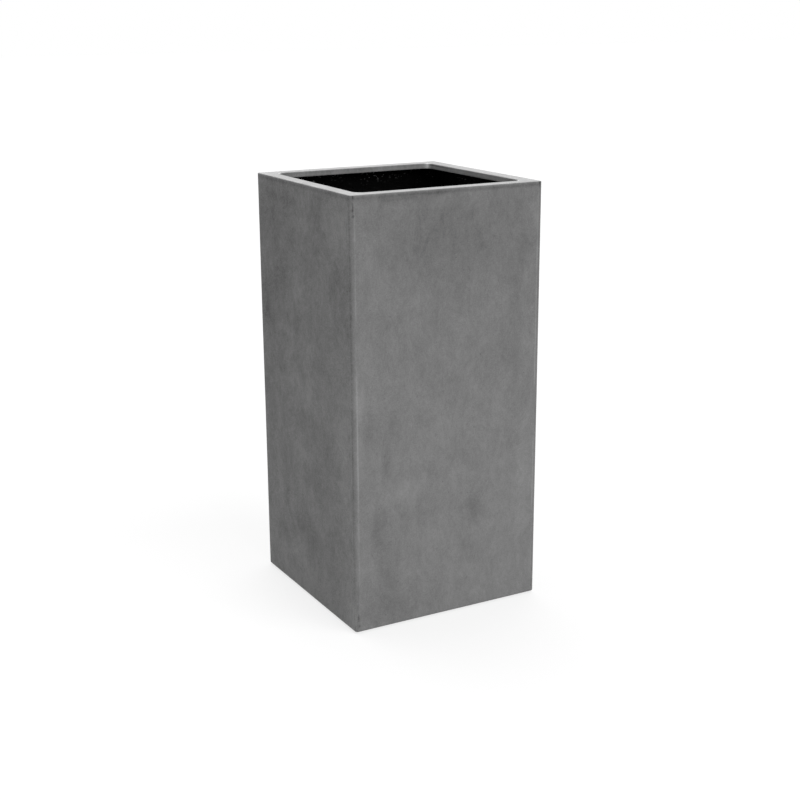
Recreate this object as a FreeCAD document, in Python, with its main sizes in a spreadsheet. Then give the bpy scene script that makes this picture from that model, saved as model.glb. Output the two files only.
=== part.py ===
import FreeCAD, Part
import os
import Sketcher

# Tall square planter, laid up by hand in a mould: a skin of stone-filled resin, backed with glass mat.
# Origin: middle of the footprint, on the floor. +Z up, -Y is the front. Sizes in millimetres.

SIZES = {
    # outside
    "overall_width": 390.0,
    "overall_height": 800.0,
    "corner_radius": 6.0,
    "base_edge_radius": 2.5,
    # moulded skin, with a flat rim whose lip turns down inside the mouth
    "shell_thickness": 3.0,
    "rim_width": 28.0,
    "rim_depth": 11.0,
    "lip_thickness": 3.0,
    "mouth_radius": 16.0,
    "rim_edge_radius": 1.5,
    # glass mat
    "laminate_thickness": 3.0,
    "backing_thickness": 3.0,
    "tape_width": 45.0,
    "tape_thickness": 1.5,
    "cove_radius": 12.0,
    "upstand_height": 40.0,
    "floor_cove_radius": 9.0,
    # cored floor
    "board_thickness": 9.0,
    # drain
    "drain_bore": 20.0,
    "bush_wall": 3.0,
    "flange_reach": 6.0,
    "flange_thickness": 1.5,
    "bond_gap": 0.1,
    # rubber stopper
    "plug_fit": 0.1,
    "plug_seat_gap": 0.3,
    "plug_recess": 0.5,
    "stem_relief": 1.2,
    "rib_count": 2,
    "rib_start": 3.0,
    "rib_spacing": 6.0,
    "rib_height": 2.0,
    "head_reach": 5.0,
    "head_thickness": 3.5,
    "grip_neck_diameter": 9.0,
    "grip_neck_height": 5.0,
    "grip_diameter": 16.0,
    "grip_thickness": 4.0,
    "plug_chamfer": 1.0,
    # feet
    "foot_thickness": 3.0,
    "foot_diameter": 40.0,
    "foot_inset": 45.0,
    "foot_chamfer": 0.8,
}

# Lengths that several pieces share, written once as expressions on the sheet.
INNER_WIDTH = "(Sizes.overall_width - 2 * Sizes.shell_thickness)"
LINED_WIDTH = "(Sizes.overall_width - 2 * Sizes.shell_thickness - 2 * Sizes.laminate_thickness)"
MOUTH_WIDTH = "(Sizes.overall_width - 2 * Sizes.rim_width)"
CHANNEL_WIDTH = "(Sizes.rim_width - Sizes.shell_thickness - Sizes.lip_thickness)"
CORE_THICKNESS = "(Sizes.rim_depth - Sizes.shell_thickness - Sizes.backing_thickness)"
SHELL_HEIGHT = "(Sizes.overall_height - Sizes.foot_thickness)"
FLOOR_STACK = "(Sizes.shell_thickness + Sizes.board_thickness + Sizes.laminate_thickness)"
BUSH_HOLE = "(Sizes.drain_bore + 2 * Sizes.bush_wall + 2 * Sizes.bond_gap)"
# Heights above the ground.
FLOOR_SKIN_TOP = "(Sizes.foot_thickness + Sizes.shell_thickness)"
BOARD_TOP = "(Sizes.foot_thickness + Sizes.shell_thickness + Sizes.board_thickness)"
LIP_BOTTOM = "(Sizes.overall_height - Sizes.rim_depth)"

# Walls and corners in order round the planter, each a quarter turn on from the last.
WALLS = ("front", "right", "back", "left")
CORNERS = ("front_left", "front_right", "back_right", "back_left")
CORNER_SIGNS = ((-1, -1), (1, -1), (1, 1), (-1, 1))
QUARTER_TURN = 90.0

NEAR = 1e-4
Z_AXIS = FreeCAD.Vector(0, 0, 1)
START, END, CENTRE = range(1, 4)
H_AXIS, V_AXIS = range(-1, -3, -1)
ORIGIN_POINT = (H_AXIS, START)

doc = FreeCAD.newDocument("Planter")
sheet = doc.addObject("Spreadsheet::Sheet", "Sizes")
for row, (alias, value) in enumerate(SIZES.items(), start=1):
    sheet.set(f"A{row}", alias)
    sheet.set(f"B{row}", str(value))
    sheet.setAlias(f"B{row}", alias)
doc.recompute()

pieces = []


def length_of(expression):
    """A length on the sheet, in millimetres."""
    return float(sheet.evalExpression(expression))


def bind(item, property_name, expression):
    item.setExpression(property_name, expression)


def new_body(label, height="0", angle=0.0):
    """A piece whose own origin lies on the planter's axis at a height, turned about the axis."""
    body = doc.addObject("PartDesign::Body", label)
    body.Label = label
    body.Placement.Rotation = FreeCAD.Rotation(Z_AXIS, angle)
    bind(body, "Placement.Base.z", height)
    pieces.append(body)
    return body


def new_sketch(body, name, plane="XY_Plane", offset="0"):
    sketch = body.newObject("Sketcher::SketchObject", name)
    support = next(item for item in body.Origin.OriginFeatures if item.Role == plane)
    sketch.AttachmentSupport = (support, [""])
    sketch.MapMode = "FlatFace"
    bind(sketch, "AttachmentOffset.Base.z", offset)
    return sketch


def constrain(sketch, kind, *places, size=None, name=None):
    """Add a constraint, and bind it to an expression where it has a size."""
    values = (*places, length_of(size)) if size else places
    index = sketch.addConstraint(Sketcher.Constraint(kind, *values))
    if name:
        sketch.renameConstraint(index, name)
        bind(sketch, f"Constraints.{name}", size)


def closed_outline(sketch, points):
    """Straight edges through the points, joined end to end."""
    corners = [FreeCAD.Vector(x, y, 0) for x, y in points]
    for here, there in zip(corners, corners[1:] + corners[:1]):
        sketch.addGeometry(Part.LineSegment(here, there))
    edges = list(range(len(corners)))
    for edge, following in zip(edges, edges[1:] + edges[:1]):
        constrain(sketch, "Coincident", edge, END, following, START)


def square_sketch(body, name, side, offset="0"):
    """A square about the origin."""
    sketch = new_sketch(body, name, offset=offset)
    half = length_of(side) / 2
    closed_outline(sketch, [(-half, -half), (half, -half), (half, half), (-half, half)])
    front, right, back, left = range(4)
    for edge in (front, back):
        constrain(sketch, "Horizontal", edge)
    for edge in (right, left):
        constrain(sketch, "Vertical", edge)
    constrain(sketch, "Symmetric", front, START, back, START, *ORIGIN_POINT)
    constrain(sketch, "DistanceX", front, START, front, END, size=side, name="across")
    constrain(sketch, "DistanceY", right, START, right, END, size=side, name="along")
    return sketch


def circle_sketch(body, name, diameter, offset="0"):
    sketch = new_sketch(body, name, offset=offset)
    sketch.addGeometry(Part.Circle(FreeCAD.Vector(), Z_AXIS, length_of(diameter) / 2))
    constrain(sketch, "Coincident", 0, CENTRE, *ORIGIN_POINT)
    constrain(sketch, "Diameter", 0, size=diameter, name="bore")
    return sketch


def pad(body, sketch, name, thickness):
    feature = body.newObject("PartDesign::Pad", name)
    feature.Profile = sketch
    bind(feature, "Length", thickness)
    doc.recompute()
    return feature


def pocket(body, sketch, name, depth, upwards):
    """Cut a pocket, and make sure that it took material away."""
    before = body.Shape.Volume
    feature = body.newObject("PartDesign::Pocket", name)
    feature.Profile = sketch
    feature.Reversed = upwards
    bind(feature, "Length", depth)
    doc.recompute()
    if body.Shape.Volume > before - NEAR:
        raise ValueError(f"{body.Label}: {name} cuts nothing")
    return feature


def fillet(body, base, name, edges, radius):
    feature = body.newObject("PartDesign::Fillet", name)
    feature.Base = (base, edges)
    bind(feature, "Radius", radius)
    doc.recompute()
    return feature


def chamfer(body, base, name, edges, size):
    feature = body.newObject("PartDesign::Chamfer", name)
    feature.Base = (base, edges)
    bind(feature, "Size", size)
    doc.recompute()
    return feature


def upright_edges(feature, width):
    """The upright edges at the corners of a square of this width."""
    half = length_of(width) / 2
    names = []
    for number, edge in enumerate(feature.Shape.Edges, start=1):
        ends = [vertex.Point for vertex in edge.Vertexes]
        at_corner = all(abs(abs(p.x) - half) < NEAR and abs(abs(p.y) - half) < NEAR for p in ends)
        if at_corner and edge.BoundBox.ZLength > NEAR:
            names.append(f"Edge{number}")
    return names


def level_edges(feature, width, height):
    """The edges round a square of this width at one height, with the arcs at its corners."""
    half = length_of(width) / 2
    level = length_of(height)
    names = []
    for number, edge in enumerate(feature.Shape.Edges, start=1):
        ends = [vertex.Point for vertex in edge.Vertexes]
        on_outline = all(abs(max(abs(p.x), abs(p.y)) - half) < NEAR for p in ends)
        if on_outline and all(abs(p.z - level) < NEAR for p in ends):
            names.append(f"Edge{number}")
    return names


def outer_shell():
    """Walls, floor, rim and lip in one skin, hollow under the rim, where the cores go."""
    width = "Sizes.overall_width"
    body = new_body("outer_shell", height="Sizes.foot_thickness")
    block = pad(body, square_sketch(body, "Outside", width), "Block", SHELL_HEIGHT)
    rounded = fillet(body, block, "UprightCorners", upright_edges(block, width), "Sizes.corner_radius")

    rim_underside = f"{SHELL_HEIGHT} - Sizes.shell_thickness"
    hollow = square_sketch(body, "Inside", INNER_WIDTH, offset="Sizes.shell_thickness")
    pocket(body, hollow, "Hollow", f"{rim_underside} - Sizes.shell_thickness", upwards=True)

    lip_width = f"({MOUTH_WIDTH} + 2 * Sizes.lip_thickness)"
    lip_bottom = f"{SHELL_HEIGHT} - Sizes.rim_depth"
    lip = square_sketch(body, "LipOutside", lip_width, offset=lip_bottom)
    pad(body, lip, "Lip", "Sizes.rim_depth - Sizes.shell_thickness")
    mouth = square_sketch(body, "MouthOutline", MOUTH_WIDTH, offset=lip_bottom)
    opened = pocket(body, mouth, "Mouth", "Sizes.rim_depth", upwards=True)
    opened = fillet(body, opened, "MouthCorners", upright_edges(opened, MOUTH_WIDTH), "Sizes.mouth_radius")

    rim_edges = level_edges(opened, width, SHELL_HEIGHT)
    rim_edges += level_edges(opened, MOUTH_WIDTH, SHELL_HEIGHT)
    rim_edges += level_edges(opened, MOUTH_WIDTH, lip_bottom)
    eased = fillet(body, opened, "RimEdges", rim_edges, "Sizes.rim_edge_radius")
    fillet(body, eased, "BaseEdge", level_edges(eased, width, "0"), "Sizes.base_edge_radius")

    drain = circle_sketch(body, "DrainOutline", BUSH_HOLE)
    pocket(body, drain, "DrainHole", "Sizes.shell_thickness", upwards=True)


def mitred_strip(label, turns, height, thickness):
    """A strip along one side of the rim's channel, cut at 45 degrees at both ends."""
    body = new_body(label, height, turns * QUARTER_TURN)
    sketch = new_sketch(body, "Outline")
    near, far = length_of(INNER_WIDTH) / 2, length_of(INNER_WIDTH) / 2 - length_of(CHANNEL_WIDTH)
    closed_outline(sketch, [(-near, -near), (near, -near), (far, -far), (-far, -far)])
    outer, _, inner, _ = range(4)
    inner_length = f"{INNER_WIDTH} - 2 * {CHANNEL_WIDTH}"
    for edge in (outer, inner):
        constrain(sketch, "Symmetric", edge, START, edge, END, V_AXIS)
    constrain(sketch, "DistanceX", outer, START, outer, END, size=INNER_WIDTH, name="outer_length")
    constrain(sketch, "DistanceY", outer, END, *ORIGIN_POINT, size=f"{INNER_WIDTH} / 2", name="setting_out")
    constrain(sketch, "DistanceX", inner, END, inner, START, size=inner_length, name="inner_length")
    constrain(sketch, "DistanceY", outer, END, inner, START, size=CHANNEL_WIDTH, name="channel")
    pad(body, sketch, "Strip", thickness)


def wall_laminate(label, length, thickness_axis, position):
    """A flat glass-mat panel against the skin, from its floor up to the rim's backing."""
    panel = doc.addObject("Part::Box", label)
    panel.Label = label
    across, along = ("Width", "Length") if thickness_axis == "y" else ("Length", "Width")
    bind(panel, across, "Sizes.laminate_thickness")
    bind(panel, along, length)
    bind(panel, "Height", f"{LIP_BOTTOM} - {FLOOR_SKIN_TOP}")
    other_axis = "x" if thickness_axis == "y" else "y"
    bind(panel, f"Placement.Base.{thickness_axis}", position)
    bind(panel, f"Placement.Base.{other_axis}", f"-{length} / 2")
    bind(panel, "Placement.Base.z", FLOOR_SKIN_TOP)
    pieces.append(panel)


def corner_tape(label, turns):
    """An L of glass mat up one inner corner, with a cove on its inside."""
    body = new_body(label, f"{BOARD_TOP} + Sizes.upstand_height", turns * QUARTER_TURN)
    sketch = new_sketch(body, "Section")
    corner = -length_of(LINED_WIDTH) / 2
    reach = corner + length_of("Sizes.tape_width")
    face = corner + length_of("Sizes.tape_thickness")
    cove = length_of("Sizes.cove_radius")
    outline = [(corner, corner), (reach, corner), (reach, face), (face + cove, face)]
    outline += [(face, face + cove), (face, reach), (corner, reach)]
    points = [FreeCAD.Vector(x, y, 0) for x, y in outline]
    for first in (0, 1, 2, 4, 5, 6):
        sketch.addGeometry(Part.LineSegment(points[first], points[(first + 1) % len(points)]))
    middle = FreeCAD.Vector(face + cove * (1 - 0.5 ** 0.5), face + cove * (1 - 0.5 ** 0.5), 0)
    sketch.addGeometry(Part.Arc(points[3], middle, points[4]))
    foot, leg_end, leg_face, other_face, other_end, other_foot, arc = range(7)
    for edge, following in ((foot, leg_end), (leg_end, leg_face), (other_face, other_end),
                            (other_end, other_foot), (other_foot, foot)):
        constrain(sketch, "Coincident", edge, END, following, START)
    constrain(sketch, "Tangent", leg_face, END, arc, END)
    constrain(sketch, "Tangent", other_face, START, arc, START)
    for edge in (foot, leg_face, other_end):
        constrain(sketch, "Horizontal", edge)
    for edge in (leg_end, other_face, other_foot):
        constrain(sketch, "Vertical", edge)
    half_room = f"{LINED_WIDTH} / 2"
    wide, thick = "Sizes.tape_width", "Sizes.tape_thickness"
    constrain(sketch, "DistanceX", foot, START, *ORIGIN_POINT, size=half_room, name="from_left")
    constrain(sketch, "DistanceY", foot, START, *ORIGIN_POINT, size=half_room, name="from_front")
    constrain(sketch, "DistanceX", foot, START, foot, END, size=wide, name="leg")
    constrain(sketch, "DistanceY", foot, START, other_foot, START, size=wide, name="other_leg")
    constrain(sketch, "DistanceY", leg_end, START, leg_end, END, size=thick, name="ply")
    constrain(sketch, "DistanceX", other_end, END, other_end, START, size=thick, name="other_ply")
    constrain(sketch, "Radius", arc, size="Sizes.cove_radius", name="cove")
    pad(body, sketch, "Tape", f"{LIP_BOTTOM} - {BOARD_TOP} - Sizes.upstand_height")


def floor_board():
    """The stiffening board between the floor's skin and its laminate, with a hole for the bush."""
    board = doc.addObject("Part::Box", "Board")
    for side in ("Length", "Width"):
        bind(board, side, LINED_WIDTH)
    bind(board, "Height", "Sizes.board_thickness")
    for axis in ("x", "y"):
        bind(board, f"Placement.Base.{axis}", f"-{LINED_WIDTH} / 2")
    hole = doc.addObject("Part::Cylinder", "BoardHole")
    bind(hole, "Radius", f"{BUSH_HOLE} / 2")
    bind(hole, "Height", "Sizes.board_thickness")
    drilled = doc.addObject("Part::Cut", "floor_board")
    drilled.Label = "floor_board"
    drilled.Base = board
    drilled.Tool = hole
    bind(drilled, "Placement.Base.z", FLOOR_SKIN_TOP)
    pieces.append(drilled)


def floor_laminate():
    """A tray of glass mat: over the board, and turned up the walls with a cove all round."""
    room = f"({LINED_WIDTH} - 2 * Sizes.laminate_thickness)"
    body = new_body("floor_laminate", height=BOARD_TOP)
    pad(body, square_sketch(body, "Outside", LINED_WIDTH), "Tray", "Sizes.upstand_height")
    inside = square_sketch(body, "Inside", room, offset="Sizes.laminate_thickness")
    hollow = pocket(body, inside, "Hollow", "Sizes.upstand_height - Sizes.laminate_thickness", upwards=True)
    inner_edges = upright_edges(hollow, room) + level_edges(hollow, room, "Sizes.laminate_thickness")
    fillet(body, hollow, "Coves", inner_edges, "Sizes.floor_cove_radius")
    drain = circle_sketch(body, "DrainOutline", BUSH_HOLE)
    pocket(body, drain, "DrainHole", "Sizes.laminate_thickness", upwards=True)


def turned_section(body, name, profile):
    """A section to turn about the axis: corners as (radius, height) expressions, in order round it."""
    sketch = new_sketch(body, name, plane="XZ_Plane")
    closed_outline(sketch, [(length_of(radius), length_of(level)) for radius, level in profile])
    for corner, (radius, level) in enumerate(profile):
        from_origin = (*ORIGIN_POINT, corner, START)
        if length_of(radius) < NEAR:
            constrain(sketch, "PointOnObject", corner, START, V_AXIS)
        else:
            constrain(sketch, "DistanceX", *from_origin, size=radius, name=f"radius_{corner}")
        if length_of(level) < NEAR:
            constrain(sketch, "PointOnObject", corner, START, H_AXIS)
        else:
            constrain(sketch, "DistanceY", *from_origin, size=level, name=f"height_{corner}")
    return sketch


def turned(body, sketch, name):
    feature = body.newObject("PartDesign::Revolution", name)
    feature.Profile = sketch
    feature.ReferenceAxis = (sketch, ["V_Axis"])
    feature.Angle = 360
    doc.recompute()
    return feature


def ring_edges(feature, radius, height):
    """The circles of this radius about the axis at one height."""
    size, level = length_of(radius), length_of(height)
    names = []
    for number, edge in enumerate(feature.Shape.Edges, start=1):
        box = edge.BoundBox
        if abs(box.XMax - size) < NEAR and abs(box.ZMin - level) < NEAR and abs(box.ZMax - level) < NEAR:
            names.append(f"Edge{number}")
    return names


def drain_bush():
    """A flanged bush through skin, board and laminate, which keeps water out of the board."""
    body = new_body("drain_bush", height="Sizes.foot_thickness")
    bore = "Sizes.drain_bore / 2"
    outside = f"{bore} + Sizes.bush_wall"
    flange = f"{outside} + Sizes.flange_reach"
    rim = f"{FLOOR_STACK} + Sizes.flange_thickness"
    profile = [(bore, "0"), (outside, "0"), (outside, FLOOR_STACK)]
    profile += [(flange, FLOOR_STACK), (flange, rim), (bore, rim)]
    turned(body, turned_section(body, "Section", profile), "Bush")


def drain_plug():
    """A rubber stopper: a ribbed stem in the bush's bore, a head over its flange and a grip to pull."""
    body = new_body("drain_plug", height="Sizes.foot_thickness")
    stem = "Sizes.drain_bore / 2 - Sizes.stem_relief"
    rib = "Sizes.drain_bore / 2 - Sizes.plug_fit"
    head = "Sizes.drain_bore / 2 + Sizes.head_reach"
    neck = "Sizes.grip_neck_diameter / 2"
    grip = "Sizes.grip_diameter / 2"
    tip = "Sizes.plug_recess"
    seat = f"{FLOOR_STACK} + Sizes.flange_thickness + Sizes.plug_seat_gap"
    head_top = f"{seat} + Sizes.head_thickness"
    grip_foot = f"{head_top} + Sizes.grip_neck_height"
    top = f"{grip_foot} + Sizes.grip_thickness"
    profile = [("0", tip), (stem, tip), (stem, seat), (head, seat), (head, head_top), (neck, head_top)]
    profile += [(neck, grip_foot), (grip, grip_foot), (grip, top), ("0", top)]
    stopper = turned(body, turned_section(body, "Section", profile), "Stopper")
    eased = ring_edges(stopper, head, head_top) + ring_edges(stopper, grip, top)
    chamfer(body, stopper, "EasedEdges", eased, "Sizes.plug_chamfer")

    rib_foot = f"{tip} + Sizes.rib_start"
    rib_top = f"{rib_foot} + Sizes.rib_height"
    section = [(f"({stem}) / 2", rib_foot), (stem, rib_foot), (rib, f"{rib_top} - Sizes.rib_height / 2")]
    section += [(rib, rib_top), (f"({stem}) / 2", rib_top)]
    first_rib = turned(body, turned_section(body, "RibSection", section), "Rib")
    ribs = body.newObject("PartDesign::LinearPattern", "Ribs")
    ribs.Originals = [first_rib]
    ribs.Direction = (next(item for item in body.Origin.OriginFeatures if item.Role == "Z_Axis"), [""])
    bind(ribs, "Length", "Sizes.rib_spacing * (Sizes.rib_count - 1)")
    bind(ribs, "Occurrences", "Sizes.rib_count")
    body.Tip = ribs


def foot_pad(label, signs):
    """A rubber disc under one corner of the floor."""
    body = new_body(label)
    for axis, sign in zip("xy", signs):
        bind(body, f"Placement.Base.{axis}", f"{sign} * (Sizes.overall_width / 2 - Sizes.foot_inset)")
    disc = pad(body, circle_sketch(body, "Outline", "Sizes.foot_diameter"), "Disc", "Sizes.foot_thickness")
    edge = ring_edges(disc, "Sizes.foot_diameter / 2", "0")
    chamfer(body, disc, "LowerEdge", edge, "Sizes.foot_chamfer")


def write_parts():
    """Check every object and piece, and write each piece to a file named after it."""
    doc.recompute()
    for item in doc.Objects:
        if {"Invalid", "Error"} & set(item.State):
            raise ValueError(f"{item.Label} did not recompute: {item.State}")
    os.makedirs("parts", exist_ok=True)
    for piece in pieces:
        shape = piece.Shape
        if shape.isNull() or not shape.isValid() or len(shape.Solids) != 1:
            raise ValueError(f"{piece.Label} is not one sound solid")
        shape.exportStep(f"parts/{piece.Label}.step")
        box = shape.BoundBox
        print(f"{piece.Label:28} {shape.Volume / 1000:9.1f} cm3  z {box.ZMin:7.2f} to {box.ZMax:7.2f}")


outer_shell()
for turns, wall in enumerate(WALLS):
    mitred_strip(f"rim_core_{wall}", turns, f"{LIP_BOTTOM} + Sizes.backing_thickness", CORE_THICKNESS)
    mitred_strip(f"rim_backing_{wall}", turns, LIP_BOTTOM, "Sizes.backing_thickness")
NEAR_FACE = f"-{INNER_WIDTH} / 2"
FAR_FACE = f"{INNER_WIDTH} / 2 - Sizes.laminate_thickness"
wall_laminate("wall_laminate_front", INNER_WIDTH, "y", NEAR_FACE)
wall_laminate("wall_laminate_back", INNER_WIDTH, "y", FAR_FACE)
wall_laminate("wall_laminate_left", LINED_WIDTH, "x", NEAR_FACE)
wall_laminate("wall_laminate_right", LINED_WIDTH, "x", FAR_FACE)
floor_board()
floor_laminate()
for turns, corner in enumerate(CORNERS):
    corner_tape(f"corner_tape_{corner}", turns)
drain_bush()
drain_plug()
for corner, signs in zip(CORNERS, CORNER_SIGNS):
    foot_pad(f"foot_pad_{corner}", signs)
write_parts()
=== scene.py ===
import math

import bmesh
import bpy
import numpy as np
from mathutils import Matrix, Vector, noise


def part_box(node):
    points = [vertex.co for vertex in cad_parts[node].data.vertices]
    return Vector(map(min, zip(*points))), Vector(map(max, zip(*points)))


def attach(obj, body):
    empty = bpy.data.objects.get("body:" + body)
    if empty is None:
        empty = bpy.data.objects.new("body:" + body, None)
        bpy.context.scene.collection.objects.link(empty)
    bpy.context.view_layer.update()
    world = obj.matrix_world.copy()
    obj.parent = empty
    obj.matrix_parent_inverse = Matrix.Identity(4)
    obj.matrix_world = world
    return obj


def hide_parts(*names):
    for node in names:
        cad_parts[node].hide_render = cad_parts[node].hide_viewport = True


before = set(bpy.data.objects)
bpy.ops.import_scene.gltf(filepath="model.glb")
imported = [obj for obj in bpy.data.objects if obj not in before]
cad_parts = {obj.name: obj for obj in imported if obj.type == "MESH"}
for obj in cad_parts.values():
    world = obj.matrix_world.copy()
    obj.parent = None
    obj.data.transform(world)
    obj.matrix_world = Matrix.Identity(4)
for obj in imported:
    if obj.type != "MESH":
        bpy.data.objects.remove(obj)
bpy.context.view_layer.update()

# Tall square planter: a skin of grey stone-filled resin over black glass mat. Metres, +Z up, -Y is the front.

SHELL_LOW, SHELL_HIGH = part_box("outer_shell")
CORE_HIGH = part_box("rim_core_front")[1]
BACKING_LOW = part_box("rim_backing_front")[0]
PANEL_LOW, PANEL_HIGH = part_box("wall_laminate_front")
TRAY_LOW, TRAY_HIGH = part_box("floor_laminate")
TAPE_LOW, TAPE_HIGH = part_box("corner_tape_front_left")

WALLS = ("front", "right", "back", "left")
CORNERS = ("front_left", "front_right", "back_right", "back_left")


# ---------------------------------------------------------------- sizes

HALF = SHELL_HIGH.x
TOP = SHELL_HIGH.z
BOTTOM = SHELL_LOW.z
SKIN = PANEL_LOW.y - SHELL_LOW.y
LIP_OUTER = -CORE_HIGH.y
MOUTH = LIP_OUTER - SKIN
LIP_BOTTOM = BACKING_LOW.z
CORNER_RADIUS = 0.006
FLAT = HALF - CORNER_RADIUS
MOUTH_RADIUS = 0.016
RIM_EDGE = 0.0015
BASE_EDGE = 0.0025
INNER_RADIUS = 0.0005
DRAIN_HOLE = 0.0131
PLY = PANEL_HIGH.y - PANEL_LOW.y
TAPE_PLY = 0.0015
TAPE_COVE = 0.012
TRAY_COVE = 0.009
TRAY_BEVEL = 0.001

# The skin's points lie close together within reach of its sides, top and base, and wider apart between.
FINE_STEP, COARSE_STEP = 0.0015, 0.006
SIDE_REACH, TOP_REACH, BASE_REACH = 0.012, 0.042, 0.064
MAT_STEP = 0.006
CORNER_STEPS, EDGE_STEPS, LIP_STEPS = 8, 3, 6
COVE_STEPS, TAPE_STEPS = 5, 8

# How far each surface lies below its highest points, on average.
SKIN_WAVES, MAT_LUMPS, TAPE_LUMPS = 0.00022, 0.0004, 0.0003


# ---------------------------------------------------------------- noise

# Each field's features along X, Y and Z in metres, its seed, and how many octaves it has.
FIELDS = {
    "skin_waves": ((0.16, 0.16, 0.28), 1, 1),
    "skin_ripples": ((0.03, 0.03, 0.05), 2, 1),
    "seam_breaks": ((0.05, 0.05, 0.014), 3, 1),
    "rim_shadow": ((0.03, 0.03, 0.03), 4, 1),
    "lip_streaks": ((0.006, 0.006, 0.03), 5, 1),
    "lip_clouds": ((0.03, 0.03, 0.03), 6, 1),
    "ragged_across": ((0.03, 0.03, 0.04), 7, 2),
    "ragged_down": ((0.03, 0.03, 0.04), 8, 2),
    "seam_patches": ((0.08, 0.08, 0.05), 9, 1),
    "mat_lumps": ((0.035, 0.035, 0.035), 10, 1),
    "mat_bumps": ((0.012, 0.012, 0.012), 11, 1),
    "wall_spatter": ((0.06, 0.06, 0.02), 12, 1),
    "tape_spatter": ((0.04, 0.04, 0.02), 13, 1),
    "floor_spatter": ((0.05, 0.05, 0.05), 14, 1),
    "free_patches": ((0.12, 0.12, 0.18), 15, 3),
    "corner_grit": ((0.05, 0.05, 0.09), 16, 1),
    "tape_edge": ((1, 1, 0.03), 20, 3),
}
SEED_SHIFT = (17.3, 5.1, 9.7)
FRACTAL_FALL, FRACTAL_GAP = 1.0, 2.0


def field(name, points, copy=0):
    """A noise field at each point, about -1 to 1. Each copy of a field has a seed of its own."""
    sizes, seed, octaves = FIELDS[name]
    offset = Vector([(seed + copy) * shift for shift in SEED_SHIFT])
    places = [Vector(place) + offset for place in points / np.asarray(sizes, float)]
    if octaves > 1:
        return np.array([noise.fractal(place, FRACTAL_FALL, FRACTAL_GAP, octaves) for place in places])
    return np.array([noise.noise(place) for place in places])


def varying(name, points, middle, swing, low, high):
    """A number that a noise field swings about its middle, kept between two limits."""
    return np.clip(middle + swing * field(name, points), low, high)


def falloff(distance, reach):
    return np.exp(-(distance / reach) ** 2)


def dip(wave, average):
    """How far below its highest point a wavy surface lies."""
    return average * (1 + np.clip(wave, -1, 1))


# ---------------------------------------------------------------- meshes

def graded(start, end, start_reach, end_reach):
    """Stations from start up to end, close together within reach of the ends and wider apart between them."""
    head = np.arange(start, start + start_reach, FINE_STEP)
    tail = np.arange(end, end - end_reach, -FINE_STEP)[::-1]
    between = round((tail[0] - head[-1]) / COARSE_STEP)
    return np.concatenate([head, np.linspace(head[-1], tail[0], between + 1)[1:-1], tail])


def even(low, high, step):
    """Stations from low to high, all as far apart: about a step."""
    return np.linspace(low, high, round((high - low) / step) + 1)


def quarter_turn(turns):
    """The cosine and sine of a number of quarter turns."""
    angle = turns * math.pi / 2
    return round(math.cos(angle)), round(math.sin(angle))


FLAT_STATIONS = graded(-FLAT, FLAT, SIDE_REACH, SIDE_REACH)[:-1] / FLAT


def square_ring(half, radius, height):
    """Points round a square with rounded corners, from the front left corner anticlockwise."""
    flat = half - radius
    turn = np.radians(np.linspace(-90, 0, CORNER_STEPS, endpoint=False))
    along = np.concatenate([flat * FLAT_STATIONS, flat + radius * np.cos(turn)])
    out = np.concatenate([np.full(len(FLAT_STATIONS), -half), -flat + radius * np.sin(turn)])
    sides = []
    for turns in range(4):
        cosine, sine = quarter_turn(turns)
        sides.append(np.c_[along * cosine - out * sine, along * sine + out * cosine])
    points = np.concatenate(sides)
    return np.c_[points, np.full(len(points), height)]


def round_ring(like, radius, height):
    """A circle with one point in the direction of each point of another ring."""
    direction = like[:, :2] / np.linalg.norm(like[:, :2], axis=1)[:, None]
    return np.c_[direction * radius, np.full(len(like), height)]


def rounded_edge(half, radius, height, size, start, end):
    """Rings over a rounded edge: the outline grows by cos and rises by sin of the angle, in degrees."""
    for angle in np.radians(np.linspace(start, end, EDGE_STEPS + 1)):
        grow = size * math.cos(angle)
        yield square_ring(half + grow, radius + grow, height + size * math.sin(angle))


def join_rings(a, n, b, m):
    """Faces from a ring of n points, the first numbered a, to one of m points, the first numbered b."""
    if n == m:
        i = np.arange(n)
        j = (i + 1) % n
        return np.c_[a + i, a + j, b + j, b + i].tolist()
    faces = []
    for k in range(min(n, m)):
        far = (k + 1) % min(n, m)
        if n == 2 * m:
            faces.append([a + 2 * k, a + 2 * k + 1, b + k])
            faces.append([a + 2 * k + 1, a + (2 * k + 2) % n, b + far, b + k])
        else:
            faces.append([b + 2 * k + 1, b + 2 * k, a + k])
            faces.append([a + far, b + (2 * k + 2) % m, b + 2 * k + 1, a + k])
    return faces


def stitch(rings, capped=False):
    """Points and faces through a list of rings, each as long as the last, or half or twice as long.

    The last ring joins the first, unless both are capped."""
    lengths = [len(ring) for ring in rings]
    starts = np.cumsum([0] + lengths[:-1])
    faces = []
    if capped:
        faces.append(list(range(lengths[0]))[::-1])
        faces.append([int(starts[-1]) + i for i in range(lengths[-1])])
    for here in range(len(rings) - capped):
        there = (here + 1) % len(rings)
        faces += join_rings(starts[here], lengths[here], starts[there], lengths[there])
    return np.concatenate(rings), faces


class Section:
    """The rings that a closed surface runs through, each in a named zone."""

    def __init__(self):
        self.rings, self.zones = [], []

    def add(self, zone, *rings):
        self.rings.extend(rings)
        self.zones.extend([zone] * len(rings))

    def surface(self):
        """Its points, its faces, and the zone of each point."""
        points, faces = stitch(self.rings)
        return points, faces, np.repeat(self.zones, [len(ring) for ring in self.rings])


def new_object(name, points, faces, material, slot, *nodes):
    """A new piece of the planter, in place of CAD nodes."""
    mesh = bpy.data.meshes.new(name)
    mesh.from_pydata([tuple(point) for point in points], [], faces)
    mesh.shade_smooth()
    mesh.update()
    mesh.materials.append(material)
    item = bpy.data.objects.new(name, mesh)
    bpy.context.scene.collection.objects.link(item)
    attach(item, "planter")
    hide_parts(*nodes)
    return item


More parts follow.
